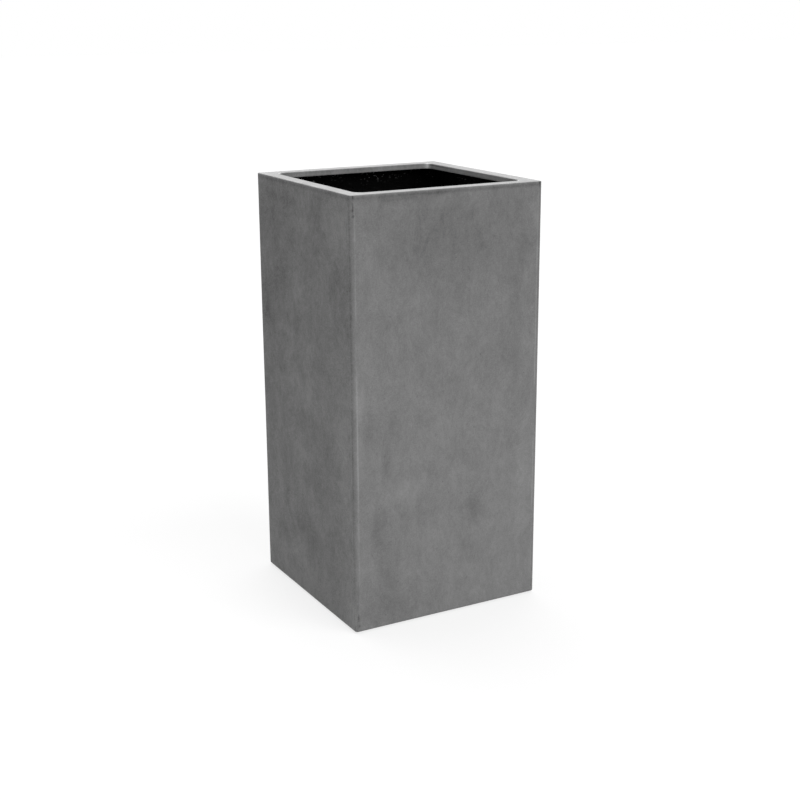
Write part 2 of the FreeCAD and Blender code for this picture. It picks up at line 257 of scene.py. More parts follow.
def face_outwards(item):
    mesh = bmesh.new()
    mesh.from_mesh(item.data)
    bmesh.ops.recalc_face_normals(mesh, faces=mesh.faces)
    mesh.to_mesh(item.data)
    mesh.free()


def vertex_normals(mesh):
    normals = np.zeros(len(mesh.vertices) * 3, np.float32)
    mesh.vertex_normals.foreach_get("vector", normals)
    return normals.reshape(-1, 3).astype(float)


def move_inwards(item, depth):
    """Push each point into its surface by its own depth."""
    mesh = item.data
    places = np.zeros(len(mesh.vertices) * 3, np.float32)
    mesh.vertices.foreach_get("co", places)
    places = places.reshape(-1, 3) - vertex_normals(mesh) * depth[:, None]
    mesh.vertices.foreach_set("co", places.astype(np.float32).ravel())
    mesh.update()


def store(item, name, values):
    """Keep a number or a vector for each point."""
    values = np.asarray(values, np.float32)
    kind, key = ("FLOAT", "value") if values.ndim == 1 else ("FLOAT_VECTOR", "vector")
    attribute = item.data.attributes.new(name, kind, "POINT")
    attribute.data.foreach_set(key, values.ravel())


# ---------------------------------------------------------------- materials

# A spot is solid out to this share of its radius, and fades from there.
SPOT_CORE = 0.5
# The range that noise mostly keeps to.
NOISE_RANGE = (0.3, 0.7)
# The numbers of the Mix node's colour sockets.
MIX_A, MIX_B, MIX_RESULT = 6, 7, 2
REFRACTION = 1.5


class Graph:
    """A material's node tree, with short calls for the nodes used here."""

    def __init__(self, name):
        self.material = bpy.data.materials.new(name)
        self.material.use_nodes = True
        self.tree = self.material.node_tree
        self.tree.nodes.clear()
        self.output = self.tree.nodes.new("ShaderNodeOutputMaterial")

    def node(self, kind, **inputs):
        """A node with its inputs set. An input's underscores stand for spaces."""
        item = self.tree.nodes.new(kind)
        for name, value in inputs.items():
            self.put(item.inputs[name.replace("_", " ")], value)
        return item

    def put(self, socket, value):
        if isinstance(value, bpy.types.NodeSocket):
            self.tree.links.new(value, socket)
        else:
            socket.default_value = value

    def place(self, stretch=(1, 1, 1), shift=(0, 0, 0)):
        """The point on the object, stretched for a texture."""
        here = self.node("ShaderNodeTexCoord").outputs["Object"]
        return self.node("ShaderNodeMapping", Vector=here, Scale=stretch, Location=shift).outputs[0]

    def noise(self, vector, scale, detail, roughness, distortion=0.0):
        item = self.node("ShaderNodeTexNoise", Vector=vector, Scale=scale, Detail=detail, Roughness=roughness,
                         Distortion=distortion)
        return item.outputs["Fac"]

    def spots(self, vector, scale, radius, share):
        """1 inside scattered spots. Share is how many of the cells hold one, and radius is in cells."""
        item = self.node("ShaderNodeTexVoronoi", Vector=vector, Scale=scale)
        near = self.remap(item.outputs["Distance"], (radius * SPOT_CORE, radius), (1, 0))
        number = self.node("ShaderNodeSeparateColor", Color=item.outputs["Color"]).outputs[0]
        return self.product(near, self.math("LESS_THAN", number, share))

    def math(self, operation, a, b):
        item = self.tree.nodes.new("ShaderNodeMath")
        item.operation = operation
        self.put(item.inputs[0], a)
        self.put(item.inputs[1], b)
        return item.outputs[0]

    def product(self, a, b):
        return self.math("MULTIPLY", a, b)

    def total(self, first, *others):
        for other in others:
            first = self.math("ADD", first, other)
        return first

    def remap(self, value, source, target):
        """The value, taken from one range to another."""
        return self.node("ShaderNodeMapRange", Value=value, From_Min=source[0], From_Max=source[1],
                         To_Min=target[0], To_Max=target[1]).outputs[0]

    def attribute(self, name, output="Fac"):
        item = self.tree.nodes.new("ShaderNodeAttribute")
        item.attribute_name = name
        return item.outputs[output]

    def grey(self, value):
        return self.node("ShaderNodeCombineColor", Red=value, Green=value, Blue=value).outputs[0]

    def mix(self, factor, a, b):
        item = self.tree.nodes.new("ShaderNodeMix")
        item.data_type = "RGBA"
        self.put(item.inputs["Factor"], factor)
        self.put(item.inputs[MIX_A], a)
        self.put(item.inputs[MIX_B], b)
        return item.outputs[MIX_RESULT]

    def bump(self, height, distance, strength):
        return self.node("ShaderNodeBump", Height=height, Distance=distance, Strength=strength).outputs[0]

    def surface(self, **inputs):
        """The finished material: a Principled surface."""
        shader = self.node("ShaderNodeBsdfPrincipled", IOR=REFRACTION, **inputs)
        self.tree.links.new(shader.outputs[0], self.output.inputs["Surface"])
        return self.material


# Tones are linear. A shift is the share by which a mark changes the tone. A scale is in cells to the metre.
# The rim's paler tone is painted light from above.
STONE_TONE, RIM_TOP_LIGHT = 0.185, 0.09
STONE_ROUGH, RIM_SMOOTHER = (0.66, 0.82), 0.34
CLOUD_SCALE, CLOUD_STRETCH, CLOUD_SHIFT = 19.0, (1, 0.65, 0.6), 0.58
GRAIN_SCALE, GRAIN_SHIFT, GRAIN_HEIGHT = 420.0, 0.36, 0.5
PIT_SCALE, PIT_SHIFT = 75.0, 0.20
SPECK_SCALE, SPECK_PLACE, SPECK_SHIFT = 95.0, (3, 1, 2), 0.14
GRIT_SCALE, GRIT_PLACE, GRIT_SHIFT = 270.0, (1, 4, 2), 0.24


def stone_resin():
    """Grey resin filled with stone dust: cloudy at every scale, with fine grain, small pits and pale specks.

    The attribute "shade" is the share that it adds to the tone, real marks and painted light and shade
    together,
    "uneven" is how strongly clouds, grain and pits show, "grit" is how much pale grit there is, and "rim" is
    1 on the smoother rim, whose paler tone is painted light from above."""
    g = Graph("stone_resin")
    uneven, rim = g.attribute("uneven"), g.attribute("rim")
    clouds = g.noise(g.place(CLOUD_STRETCH), CLOUD_SCALE, detail=5.4, roughness=0.97, distortion=0.3)
    grain = g.noise(g.place(), GRAIN_SCALE, detail=3, roughness=0.8)
    pits = g.spots(g.place(), PIT_SCALE, radius=0.15, share=0.14)
    specks = g.spots(g.place(shift=SPECK_PLACE), SPECK_SCALE, radius=0.15, share=0.14)
    grit = g.spots(g.place(shift=GRIT_PLACE), GRIT_SCALE, radius=0.30, share=0.25)
    grit = g.product(grit, g.attribute("grit"))

    mottling = g.total(g.remap(clouds, (0, 1), (-CLOUD_SHIFT, CLOUD_SHIFT)),
                       g.remap(grain, (0, 1), (-GRAIN_SHIFT, GRAIN_SHIFT)))
    shade = g.total(g.attribute("shade"), g.product(mottling, uneven), 1.0)
    shade = g.math("SUBTRACT", shade, g.product(pits, g.product(uneven, PIT_SHIFT)))
    shade = g.total(shade, g.total(g.product(specks, SPECK_SHIFT), g.product(grit, GRIT_SHIFT)))
    tone = g.product(g.total(STONE_TONE, g.product(rim, RIM_TOP_LIGHT)), shade)
    rough = g.math("SUBTRACT", g.remap(clouds, NOISE_RANGE, STONE_ROUGH), g.product(rim, RIM_SMOOTHER))
    height = g.math("SUBTRACT", g.product(grain, GRAIN_HEIGHT), pits)
    return g.surface(Base_Color=g.grey(tone), Roughness=rough,
                     Normal=g.bump(height, distance=0.0004, strength=0.6))


# The directions in which the strands lie, in degrees.
STRAND_ANGLES = (12, 57, 98, 143)
STRAND_SCALE, STRAND_STRETCH = 420.0, (0.07, 1, 1)
LUMP_SCALE = 55.0
DROP_SCALE, BLOB_SCALE, BLOB_STRETCH = 190.0, 120.0, (0.7, 0.7, 1.3)
MAT_TONES, DROP_TONE = (0.0022, 0.0085), 0.22
MAT_ROUGH = (0.42, 0.7)
WALL_GLOSS, FLOOR_GLOSS = 0.03, 0.40


def glass_strands(g, plane):
    """Strands in a few directions across a plane: high in the middle of each."""
    layers = []
    for number, degrees in enumerate(STRAND_ANGLES):
        turned = g.node("ShaderNodeMapping", Vector=plane, Rotation=(0, 0, math.radians(degrees)),
                        Location=(number, number, number)).outputs[0]
        along = g.node("ShaderNodeMapping", Vector=turned, Scale=STRAND_STRETCH).outputs[0]
        layers.append(g.noise(along, STRAND_SCALE, detail=2, roughness=0.5))
    strands = layers[0]
    for layer in layers[1:]:
        strands = g.math("MAXIMUM", strands, layer)
    return strands


def glass_mat(name, gloss, laid_flat=False):
    """Black resin over chopped glass mat: strands crossing at all angles under a lumpy coat.

    The strands lie in the plane of the attribute "weave", or level where the piece is laid flat. "deep_light"
    is painted light that makes the mat paler further down, and "spatter" is how thick drops of grey resin
    lie."""
    g = Graph(name)
    strands = glass_strands(g, g.place() if laid_flat else g.attribute("weave", "Vector"))
    lumps = g.noise(g.place(), LUMP_SCALE, detail=4, roughness=0.6)
    drops = g.spots(g.place(), DROP_SCALE, radius=0.30, share=0.50)
    blobs = g.spots(g.place(BLOB_STRETCH), BLOB_SCALE, radius=0.28, share=0.80)
    flecks = g.product(g.math("MAXIMUM", drops, blobs), g.attribute("spatter"))
    tone = g.remap(strands, (0.55, 0.72), MAT_TONES)
    # Painted light: the mat is paler deeper inside.
    if not laid_flat:
        tone = g.product(tone, g.attribute("deep_light"))
    colour = g.grey(g.total(tone, g.product(flecks, DROP_TONE)))
    height = g.total(g.remap(strands, (0.45, 0.75), (0, 1)), g.total(lumps, flecks))
    return g.surface(Base_Color=colour, Roughness=g.remap(lumps, NOISE_RANGE, MAT_ROUGH),
                     Specular_IOR_Level=gloss, Normal=g.bump(height, distance=0.0008, strength=0.8))


# The haze on moulded pieces: how many times coarser than the grain it is, and how dark and pale it gets.
HAZE_COARSER, HAZE_TONES = 12, (0.8, 1.25)


def moulded(name, tone, rough, scale, depth):
    """A dark moulded plastic or rubber, with a fine texture and a slightly uneven gloss."""
    g = Graph(name)
    grain = g.noise(g.place(), scale, detail=3, roughness=0.55)
    haze = g.noise(g.place(), scale / HAZE_COARSER, detail=3, roughness=0.55)
    colour = g.grey(g.remap(haze, NOISE_RANGE, [tone * share for share in HAZE_TONES]))
    return g.surface(Base_Color=colour, Roughness=g.remap(haze, NOISE_RANGE, rough),
                     Normal=g.bump(grain, depth, strength=0.5))


BOARD_DARK, BOARD_PALE = (0.34, 0.22, 0.12, 1), (0.52, 0.38, 0.23, 1)
FIBRE_SCALE, FIBRE_STRETCH = 300.0, (0.3, 0.3, 1)


def core_board():
    """Pale fibre board, with flecks lying along it."""
    g = Graph("core_board")
    fibre = g.noise(g.place(FIBRE_STRETCH), FIBRE_SCALE, detail=4, roughness=0.7)
    colour = g.mix(g.remap(fibre, (0.35, 0.65), (0, 1)), BOARD_DARK, BOARD_PALE)
    return g.surface(Base_Color=colour, Roughness=0.8, Normal=g.bump(fibre, distance=0.0004, strength=0.6))


# ---------------------------------------------------------------- the skin's marks

MM = 0.001
# How much one step of a patch or pit changes the tone.
STEP = 0.027
# Soft patches on the two walls that the photograph shows, in millimetres: across from the wall's left edge,
# down from the rim, reach across and down, and how many steps paler or darker.
FRONT_PATCHES = (
    (175, 7, 22, 5, -9), (85, 11, 60, 5, -7), (130, 82, 80, 68, -6), (300, 78, 85, 68, -5),
    (200, 42, 42, 16, -3), (12, 372, 16, 28, 8), (212, 130, 24, 90, -4), (340, 190, 17, 70, -5),
    (322, 330, 26, 50, -3), (69, 482, 8, 32, -8), (32, 405, 10, 36, -3), (50, 600, 15, 55, -7),
    (66, 690, 18, 40, -8), (62, 765, 52, 34, -7), (250, 600, 22, 30, -9), (226, 662, 12, 34, -6),
    (135, 592, 7, 24, -7), (105, 540, 48, 22, 5), (232, 525, 22, 12, 5), (362, 560, 22, 200, 4),
    (378, 62, 9, 26, 7), (10, 460, 14, 60, 5), (292, 620, 24, 100, 3), (240, 370, 26, 46, 4),
    (172, 628, 22, 42, 5),
)
LEFT_PATCHES = (
    (36, 252, 22, 40, -13), (60, 195, 36, 22, -7), (52, 80, 54, 46, -7), (90, 38, 80, 10, -6),
    (245, 45, 42, 18, -6), (354, 60, 42, 66, 10), (335, 135, 14, 34, -8), (186, 206, 22, 22, 6),
    (172, 258, 44, 24, -7), (240, 375, 74, 44, 5), (364, 570, 28, 220, 8), (90, 362, 16, 14, -7),
    (222, 560, 34, 26, -6), (200, 670, 56, 42, -9), (80, 697, 22, 28, -10), (95, 610, 12, 48, -6),
    (34, 762, 26, 20, -7), (14, 480, 10, 34, 6), (14, 120, 12, 110, -3), (124, 195, 40, 46, -10),
    (30, 400, 30, 200, -3), (200, 405, 34, 30, 6), (140, 560, 66, 40, -6), (345, 440, 40, 90, 4),
    (384, 768, 18, 40, 14), (50, 300, 34, 40, -5), (252, 305, 26, 26, 4),
)
# How far the patches' edges wander. A patch whose reach down is less than this many millimetres wanders less.
RAGGED_ACROSS, RAGGED_DOWN = 0.008, 0.014
FULLY_RAGGED = 30
# How strongly free patches show on the other two walls.
FREE_PATCHES = 0.16
# Pits beside the corner between the two walls, in millimetres: across the front from its left edge, down from
# the rim, size, and steps.
CORNER_PITS = (
    (5, 25.3, 2.2, -18), (6, 35.5, 2.3, -17), (7.5, 785, 2.8, -15), (4.5, 14, 1.8, -12),
    (5.5, 19, 1.6, -10),
)


def wall_mask(points, wall):
    """Which points lie on the outside of a wall, its share of the rounded corners included."""
    x, y = points[:, 0], points[:, 1]
    out, beside = {"front": (-y, x), "left": (-x, y), "right": (x, y), "back": (y, x)}[wall]
    return (out > FLAT) & (out >= abs(beside))


def on_walls(points, values, elsewhere):
    """Each point's value for the wall that it lies on."""
    return np.select([wall_mask(points, wall) for wall in values], list(values.values()), elsewhere)


def patches(points):
    """Soft patches with ragged edges, placed on the two walls in the photograph and free on the others."""
    shift_across = RAGGED_ACROSS * field("ragged_across", points)
    shift_down = RAGGED_DOWN * field("ragged_down", points)
    plain = wall_mask(points, "right") | wall_mask(points, "back")
    shade = np.where(plain, FREE_PATCHES * field("free_patches", points), 0.0)
    down = TOP - points[:, 2]
    front = ("front", FRONT_PATCHES, points[:, 0] + HALF)
    left = ("left", LEFT_PATCHES, HALF - points[:, 1])
    for wall, table, across in (front, left):
        on_wall = wall_mask(points, wall)
        for middle, depth, reach_across, reach_down, steps in table:
            ragged = min(1.0, reach_down / FULLY_RAGGED)
            patch = falloff(across + ragged * shift_across - middle * MM, reach_across * MM)
            patch *= falloff(down + ragged * shift_down - depth * MM, reach_down * MM)
            shade += np.where(on_wall, patch * steps * STEP, 0.0)
    return shade + corner_pits(points)


def corner_pits(points):
    """Small dark pits down the edge between the two walls in the photograph."""
    shade = np.zeros(len(points))
    for across, depth, size, steps in CORNER_PITS:
        distance = np.hypot(points[:, 0] + HALF - across * MM, TOP - points[:, 2] - depth * MM)
        shade += np.where(points[:, 1] < -FLAT, falloff(distance, size * MM) * steps * STEP, 0.0)
    return shade


# A seam is dark within reach of the rim and the base, and has a painted highlight line beside it elsewhere.
SEAM_TOP_REACH, SEAM_BASE_REACH = 0.034, 0.055
SEAM_BASE_STRENGTH = 1.1
SEAM_FAINT, SEAM_STRONG, SEAM_HIGHLIGHT = 0.09, 0.58, 0.38
SEAM_WIDTH, HIGHLIGHT_GAP = 0.0012, 0.0026
# A point is on a wall's side of a corner from this share of the corner's radius outwards.
WALL_SIDE = 0.9
SEAM_FRONT_SHARE, SEAM_SIDE_SHARE = 1.0, 0.4
# A painted highlight along the middle of each rounded corner.
CORNER_HIGHLIGHT, CORNER_HIGHLIGHT_ENDS, CORNER_HIGHLIGHT_WIDTH = 0.03, 0.07, 0.004


def corner_seams(points):
    """Thin dark seams where each rounded corner meets its walls, strongest near the rim and base, with a
    painted highlight beside them between; and a painted highlight along each corner.
    """
    x, y, z = points.T
    past_x, past_y = abs(x) - FLAT, abs(y) - FLAT
    on_side, on_front = past_x > WALL_SIDE * CORNER_RADIUS, past_y > WALL_SIDE * CORNER_RADIUS
    near_base = SEAM_BASE_STRENGTH * falloff(z - BOTTOM, SEAM_BASE_REACH)
    ends = np.clip(falloff(TOP - z, SEAM_TOP_REACH) + near_base, 0, 1)
    broken = varying("seam_breaks", points, middle=0.7, swing=1.3, low=0, high=1.5)
    patchy = varying("seam_patches", points, middle=0.65, swing=1.4, low=0.1, high=1.3)
    shade = np.zeros(len(points))
    for on_wall, past, share in ((on_front, past_x, SEAM_FRONT_SHARE), (on_side, past_y, SEAM_SIDE_SHARE)):
        dark = broken * (SEAM_FAINT + SEAM_STRONG * ends) * falloff(past, SEAM_WIDTH)
        highlight = patchy * SEAM_HIGHLIGHT * (1 - ends) * falloff(past + HIGHLIGHT_GAP, SEAM_WIDTH)
        shade += np.where(on_wall, share * (highlight - dark), 0.0)
    on_corner = (past_x > 0) & (past_y > 0)
    corner_highlight = (CORNER_HIGHLIGHT + CORNER_HIGHLIGHT_ENDS * ends) * falloff(past_x - past_y, CORNER_HIGHLIGHT_WIDTH)
    return shade + np.where(on_corner, corner_highlight, 0.0)


RIM_SHADOW, RIM_SHADOW_SWING = 0.24, 0.5
RIM_SHADOW_DEPTH, RIM_SHADOW_REACH = 0.0055, 0.0028


def rim_shadow(points):
    """The darker band just under the rim's edge."""
    uneven = 1 + RIM_SHADOW_SWING * field("rim_shadow", points)
    return -RIM_SHADOW * uneven * falloff(TOP - points[:, 2] - RIM_SHADOW_DEPTH, RIM_SHADOW_REACH)


# Painted light from the floor's bounce: how much paler each wall is at its base than at its rim.
PAINTED_BOUNCE = {"front": 0.13, "left": 0.22, "right": 0.16, "back": 0.16}
PAINTED_BOUNCE_ELSEWHERE = 0.15


def painted_floor_bounce(points):
    """Painted light from the floor's bounce: the tone grows slowly paler from the rim to the base, with
    nothing at half height.
    """
    rise = (points[:, 2] - BOTTOM) / (TOP - BOTTOM)
    return on_walls(points, PAINTED_BOUNCE, PAINTED_BOUNCE_ELSEWHERE) * (0.5 - rise)


def mouth_corner(points, reach):
    """1 in the middle of each of the mouth's rounded corners, falling off within reach."""
    past_x, past_y = (abs(points[:, axis]) - MOUTH + MOUTH_RADIUS for axis in (0, 1))
    return np.where((past_x > 0) & (past_y > 0), falloff(past_x - past_y, reach), 0.0)


# The lip's rounded corners get the rim's smoother finish and its painted top light, and a painted highlight.
LIP_CORNER_RIM, LIP_CORNER_RIM_REACH = 0.8, 0.006
LIP_CORNER_HIGHLIGHT, LIP_CORNER_REACH = 1.7, 0.008
LIP_STREAKS, LIP_CLOUDS = 0.18, 0.12
# Painted light on the lip's right and back faces.
LIP_RIGHT_PAINTED_LIGHT, LIP_BACK_PAINTED_LIGHT = 0.6, 0.14
LIP_FACE_DEPTH = 0.002
# A painted shadow line under the lip's edge. On the right side it gets darker towards the back.
LIP_SHADOW_DEPTH, LIP_SHADOW_WIDTH = 0.0028, 0.0016
LIP_SHADOW_RIGHT, LIP_SHADOW_FADING, LIP_SHADOW_FADE_REACH = 0.25, 0.75, 0.06
LIP_SHADOW_ELSEWHERE = 0.15


def lip_marks(points):
    """The lip's rounded corners with a painted highlight, its streaks, painted light on its right and back
    faces, and a painted shadow line under its upper edge.
    """
    x, y, z = points.T
    on_right, on_back = x > MOUTH - LIP_FACE_DEPTH, y > MOUTH - LIP_FACE_DEPTH
    shade = LIP_CORNER_HIGHLIGHT * mouth_corner(points, LIP_CORNER_REACH)
    shade += LIP_STREAKS * field("lip_streaks", points) + LIP_CLOUDS * field("lip_clouds", points)
    shade += np.where(on_right, LIP_RIGHT_PAINTED_LIGHT, 0.0) + np.where(on_back, LIP_BACK_PAINTED_LIGHT, 0.0)
    from_back = MOUTH - MOUTH_RADIUS - y
    lip_shadow_right = LIP_SHADOW_RIGHT + LIP_SHADOW_FADING * falloff(from_back, LIP_SHADOW_FADE_REACH)
    lip_shadow = falloff(TOP - z - LIP_SHADOW_DEPTH, LIP_SHADOW_WIDTH)
    return shade - lip_shadow * np.where(on_right, lip_shadow_right, LIP_SHADOW_ELSEWHERE)


GRIT_EVERYWHERE, GRIT_MOST = 0.25, 1.2
GRIT_MIDDLE, GRIT_SWING, GRIT_REACH = 0.7, 0.8, 0.075


def corner_grit(points):
    """How much pale grit there is: a little everywhere, and more beside the upright corners."""
    from_corner = (HALF - abs(points[:, 0])) + (HALF - abs(points[:, 1]))
    gathered = (GRIT_MIDDLE + GRIT_SWING * field("corner_grit", points)) * falloff(from_corner, GRIT_REACH)
    return GRIT_EVERYWHERE + np.clip(gathered, 0, GRIT_MOST)


# ---------------------------------------------------------------- pieces

# How strongly clouds, grain and pits show on each wall.
UNEVEN = {"front": 1.05, "left": 2.00, "right": 1.40, "back": 1.40}
UNEVEN_ELSEWHERE = 1.3
# How strong the skin's ripples are beside its waves.
RIPPLE_SHARE = 0.35


def shell_section():
    """The skin's section, all the way round: outside, rim, lip, channel, inner wall, floor and drain hole."""
    section = Section()
    rim_half, rim_radius = HALF - RIM_EDGE, CORNER_RADIUS - RIM_EDGE
    lip_half, lip_radius = MOUTH + RIM_EDGE, MOUTH_RADIUS + RIM_EDGE
    edge_level, lip_level, floor_level = TOP - RIM_EDGE, LIP_BOTTOM + RIM_EDGE, BOTTOM + SKIN
    base_level = BOTTOM + BASE_EDGE

    base_half, base_radius = HALF - BASE_EDGE, CORNER_RADIUS - BASE_EDGE
    section.add("outside", *rounded_edge(base_half, base_radius, base_level, BASE_EDGE, -90, 0))
    for height in graded(base_level, edge_level, BASE_REACH, TOP_REACH)[1:-1]:
        section.add("outside", square_ring(HALF, CORNER_RADIUS, height))
    section.add("outside", *rounded_edge(rim_half, rim_radius, edge_level, RIM_EDGE, 0, 90))
    for share in np.linspace(0, 1, round((rim_half - lip_half) / FINE_STEP))[1:-1]:
        half = rim_half + share * (lip_half - rim_half)
        radius = rim_radius + share * (lip_radius - rim_radius)
        section.add("rim", square_ring(half, radius, TOP))
    section.add("lip", *rounded_edge(lip_half, lip_radius, edge_level, RIM_EDGE, 90, 180))
    for height in np.linspace(edge_level, lip_level, LIP_STEPS + 1)[1:-1]:
        section.add("lip", square_ring(MOUTH, MOUTH_RADIUS, height))
    section.add("lip", *rounded_edge(lip_half, lip_radius, lip_level, RIM_EDGE, 180, 270))

    section.add("hidden", square_ring(LIP_OUTER, INNER_RADIUS, LIP_BOTTOM))
    section.add("hidden", square_ring(LIP_OUTER, INNER_RADIUS, TOP - SKIN))
    section.add("hidden", square_ring(HALF - SKIN, INNER_RADIUS, TOP - SKIN))
    section.add("hidden", square_ring(HALF - SKIN, INNER_RADIUS, floor_level))
    half_way = square_ring(HALF / 2, INNER_RADIUS, floor_level)[::2]
    section.add("hidden", half_way)
    section.add("hidden", round_ring(half_way[::2], DRAIN_HOLE, floor_level))
    section.add("hidden", round_ring(half_way[::2], DRAIN_HOLE, BOTTOM))
    section.add("hidden", square_ring(HALF / 2, INNER_RADIUS, BOTTOM)[::2])
    return section


def planter_skin(material):
    """The moulded skin, a little wavy, with its marks."""
    points, faces, zone = shell_section().surface()
    item = new_object("planter_skin", points, faces, material, "stone_resin", "outer_shell")
    outside, rim, lip = (zone == name for name in ("outside", "rim", "lip"))
    wave = field("skin_waves", points) + RIPPLE_SHARE * field("skin_ripples", points)
    move_inwards(item, np.where(outside | rim | lip, dip(wave, SKIN_WAVES), 0.0))

    # Patches, pits and seams are the skin's own tone; floor bounce, highlights and rim shadow are painted
    # light and shade.
    shade = patches(points) + painted_floor_bounce(points) + corner_seams(points) + rim_shadow(points)
    store(item, "shade", np.where(outside, shade, 0.0) + np.where(lip, lip_marks(points), 0.0))
    store(item, "rim", np.where(lip, LIP_CORNER_RIM * mouth_corner(points, LIP_CORNER_RIM_REACH), rim))
    store(item, "uneven", on_walls(points, UNEVEN, UNEVEN_ELSEWHERE))
    store(item, "grit", np.where(outside, corner_grit(points), 0.0))


# The lumps of the mat are broad waves with smaller bumps on them.
LUMP_SHARE, BUMP_SHARE = 0.7, 0.5
WALL_SPATTER_REACH, TAPE_SPATTER_REACH = 0.015, 0.020
# Where more spatter lies on the back wall: place along X, reach, and how much more.
BACK_SPATTER = ((-0.12, 0.055, 3.2), (0.06, 0.03, 1.2))
# Painted light for the dim inside: how pale the mat is under the lip, how much paler further down, and on the
# floor.
DEEP_LIGHT_TOP, DEEP_LIGHT_MORE, DEEP_LIGHT_REACH = 0.3, 3.5, 0.20
DEEP_LIGHT_FLOOR = 5.0
# Places in the strands' noise that keep the tapes and the floor unlike the walls.
TAPE_WEAVE, FLOOR_WEAVE = 0.1, 0.7


def mat_lumps(points, average):
    """How far below its highest point the mat lies."""
    wave = LUMP_SHARE * field("mat_lumps", points) + BUMP_SHARE * field("mat_bumps", points)
    return dip(wave, average)


def painted_depth_light(depth):
    """Painted light for the dim inside: the mat is darkest under the lip, and paler further down."""
    return DEEP_LIGHT_TOP + DEEP_LIGHT_MORE * (1 - falloff(depth, DEEP_LIGHT_REACH))


def plate(front, thin, back_level):
    """A thin plate from a grid of points: its points and faces, and which points lie inside the border.

    Thin is the axis through it, and back_level is where its flat back lies on that axis."""
    rows, columns = front.shape[:2]
    border = [(0, i) for i in range(columns - 1)] + [(j, columns - 1) for j in range(rows - 1)]
    border += [(rows - 1, i) for i in range(columns - 1, 0, -1)] + [(j, 0) for j in range(rows - 1, 0, -1)]
    back = np.array([front[place] for place in border])
    back[:, thin] = back_level
    number = np.arange(rows * columns).reshape(rows, columns)
    start = rows * columns
    faces = np.stack([number[:-1, :-1], number[:-1, 1:], number[1:, 1:], number[1:, :-1]], axis=-1)
    faces = faces.reshape(-1, 4).tolist()
    for here, place in enumerate(border):
        there = (here + 1) % len(border)
        faces.append([number[place], number[border[there]], start + there, start + here])
    faces.append([start + here for here in range(len(border))])
    inner = np.zeros((rows, columns), bool)
    inner[1:-1, 1:-1] = True
    inner = np.concatenate([inner.ravel(), np.zeros(len(border), bool)])
    return np.concatenate([front.reshape(-1, 3), back]), faces, inner


def wall_panel(wall, material):
    """The glass mat on one wall, lumpy on the side that shows, and spattered just under the rim."""
    node = f"wall_laminate_{wall}"
    low, high = (np.array(corner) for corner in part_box(node))
    wide, thin = (0, 1) if wall in ("front", "back") else (1, 0)
    shown, hidden = (low, high) if wall in ("right", "back") else (high, low)
    across, up = (even(low[axis], high[axis], MAT_STEP) for axis in (wide, 2))
    front = np.zeros((len(up), len(across), 3))
    front[..., wide], front[..., 2], front[..., thin] = across[None, :], up[:, None], shown[thin]
    points, faces, inner = plate(front, thin, hidden[thin])
    item = new_object(f"wall_mat_{wall}", points, faces, material, "glass_mat", node)
    face_outwards(item)
    move_inwards(item, np.where(inner, mat_lumps(points, MAT_LUMPS), 0.0))

    thick = varying("wall_spatter", points, middle=0.45, swing=1.6, low=0, high=1)
    if wall == "back":
        thick += sum(more * falloff(points[:, 0] - place, reach) for place, reach, more in BACK_SPATTER)
    depth = high[2] - points[:, 2]
    store(item, "weave", np.c_[points[:, wide], points[:, 2], np.zeros(len(points))])
    store(item, "spatter", thick * falloff(depth, WALL_SPATTER_REACH))
    store(item, "deep_light", painted_depth_light(depth))


# The tape's edge: how far it wanders, its feathered profile as distances in from the edge and up from the
# wall, and how far in it has its full thickness.
TAPE_RAGGED, TAPE_WANDER = 0.004, 0.0025
TAPE_FEATHER = ((0.0, 0.0), (0.0004, 0.0007))
TAPE_FULL = 0.0022


def tape_outline(reach):
    """The tape's section at one height: flat behind, with a leg along each wall and a cove between them."""
    cove = TAPE_PLY + TAPE_COVE
    flat = np.linspace(reach - TAPE_FULL, cove, TAPE_STEPS)[:-1]
    leg = [(reach - back, up) for back, up in TAPE_FEATHER] + [(along, TAPE_PLY) for along in flat]
    arc = np.radians(np.linspace(270, 180, TAPE_STEPS + 1))
    bend = [(cove + TAPE_COVE * math.cos(angle), cove + TAPE_COVE * math.sin(angle)) for angle in arc]
    return np.array([(0, 0)] + leg + bend + [(up, along) for along, up in leg[::-1]])


def corner_strip(corner, turns, material):
    """The tape up one inside corner, with a ragged, feathered edge on each wall."""
    foot = TAPE_LOW.x
    levels = even(TAPE_LOW.z, TAPE_HIGH.z, MAT_STEP)
    wander = TAPE_RAGGED * field("tape_edge", np.c_[np.zeros((len(levels), 2)), levels], copy=turns)
    reaches = TAPE_HIGH.x - foot - TAPE_WANDER + np.clip(wander, -TAPE_WANDER, TAPE_WANDER)
    cosine, sine = quarter_turn(turns)
    rings, lengths = [], []
    for level, reach in zip(levels, reaches):
        outline = tape_outline(reach) + foot
        turned = outline @ np.array([[cosine, sine], [-sine, cosine]])
        rings.append(np.c_[turned, np.full(len(outline), level)])
        lengths.append(np.cumsum(np.r_[0, np.linalg.norm(np.diff(outline, axis=0), axis=1)]))
    points, faces = stitch(rings, capped=True)
    node = f"corner_tape_{corner}"
    item = new_object(f"corner_mat_{corner}", points, faces, material, "glass_mat", node)
    # The tape's back and its feathered edges stay smooth.
    inner = np.zeros((len(rings), len(rings[0])), bool)
    inner[1:-1, 1 + len(TAPE_FEATHER):-len(TAPE_FEATHER)] = True
    move_inwards(item, np.where(inner.ravel(), mat_lumps(points, TAPE_LUMPS), 0.0))

    thick = varying("tape_spatter", points, middle=0.1, swing=1.4, low=0, high=1)
    depth = TAPE_HIGH.z - points[:, 2]
    weave_place = np.full(len(points), TAPE_WEAVE * (turns + 1))
    store(item, "weave", np.c_[np.concatenate(lengths), points[:, 2], weave_place])
    store(item, "spatter", thick * falloff(depth, TAPE_SPATTER_REACH))
    store(item, "deep_light", painted_depth_light(depth))


